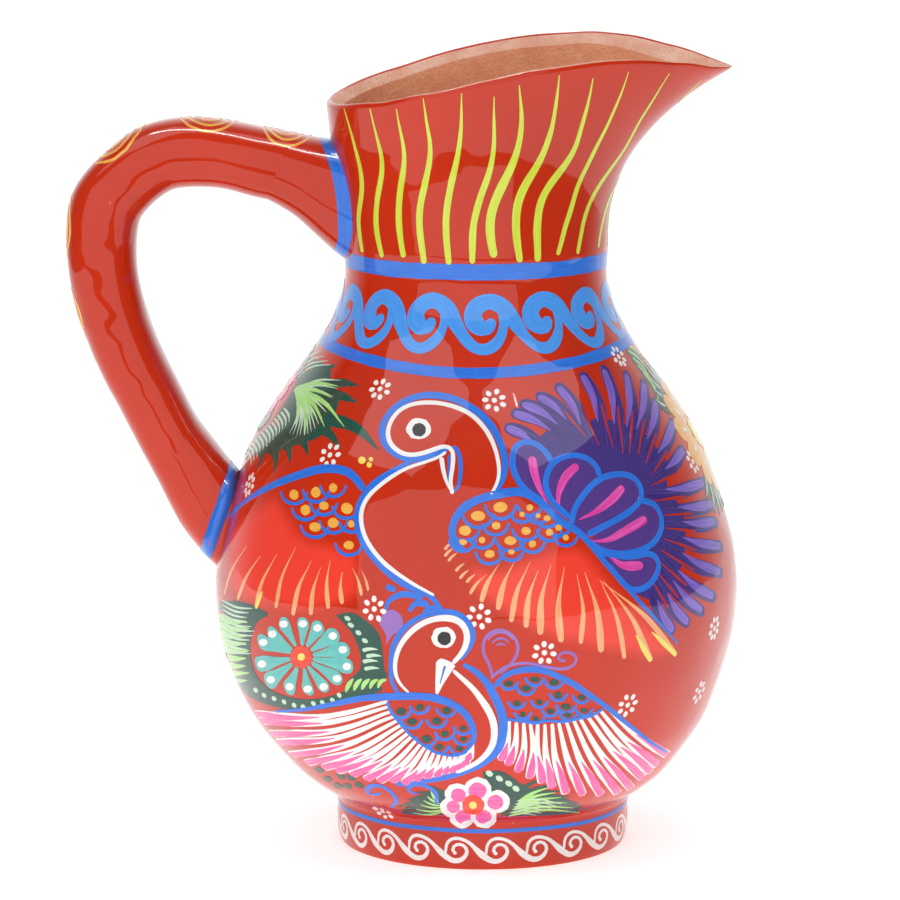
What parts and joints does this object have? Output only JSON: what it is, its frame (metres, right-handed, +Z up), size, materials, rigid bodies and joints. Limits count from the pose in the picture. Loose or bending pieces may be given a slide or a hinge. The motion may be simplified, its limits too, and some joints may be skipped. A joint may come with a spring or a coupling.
{
  "type": "clay pitcher",
  "caption": "Painted clay pitcher with a round body, a pinched leaf-shaped pouring mouth, a side strap handle and a low foot.",
  "frame": {"origin": "centre of the flat underside, on the axis of the body", "axes": "+Z up along the body's axis, +X towards the spout's tip, -X towards the handle, -Y the main painted side"},
  "size_m": [0.2016, 0.1578, 0.2423],
  "materials": {
    "red_paint": "varnished gloss paint on clay",
    "bare_clay": "matt fired clay",
    "blue_paint": "varnished gloss paint",
    "light_blue_paint": "varnished gloss paint",
    "lime_paint": "varnished gloss paint",
    "white_paint": "varnished gloss paint",
    "black_paint": "varnished gloss paint",
    "coral_paint": "varnished gloss paint",
    "peach_paint": "varnished gloss paint",
    "orange_paint": "varnished gloss paint",
    "yellow_paint": "varnished gloss paint",
    "purple_paint": "varnished gloss paint",
    "violet_paint": "varnished gloss paint",
    "pink_paint": "varnished gloss paint",
    "turquoise_paint": "varnished gloss paint",
    "dark_green_paint": "varnished gloss paint",
    "light_green_paint": "varnished gloss paint"
  },
  "bodies": {
    "root": {"base_slab": "bare_clay", "foot_collar": "red_paint", "lower_bowl": "red_paint", "upper_bowl": "red_paint", "neck_collar": "red_paint", "mouth_wall": "red_paint", "rim_strip": "bare_clay", "handle": "red_paint", "upper_joint_coil": "red_paint", "lower_joint_coil": "red_paint"}
  },
  "joints": []
}
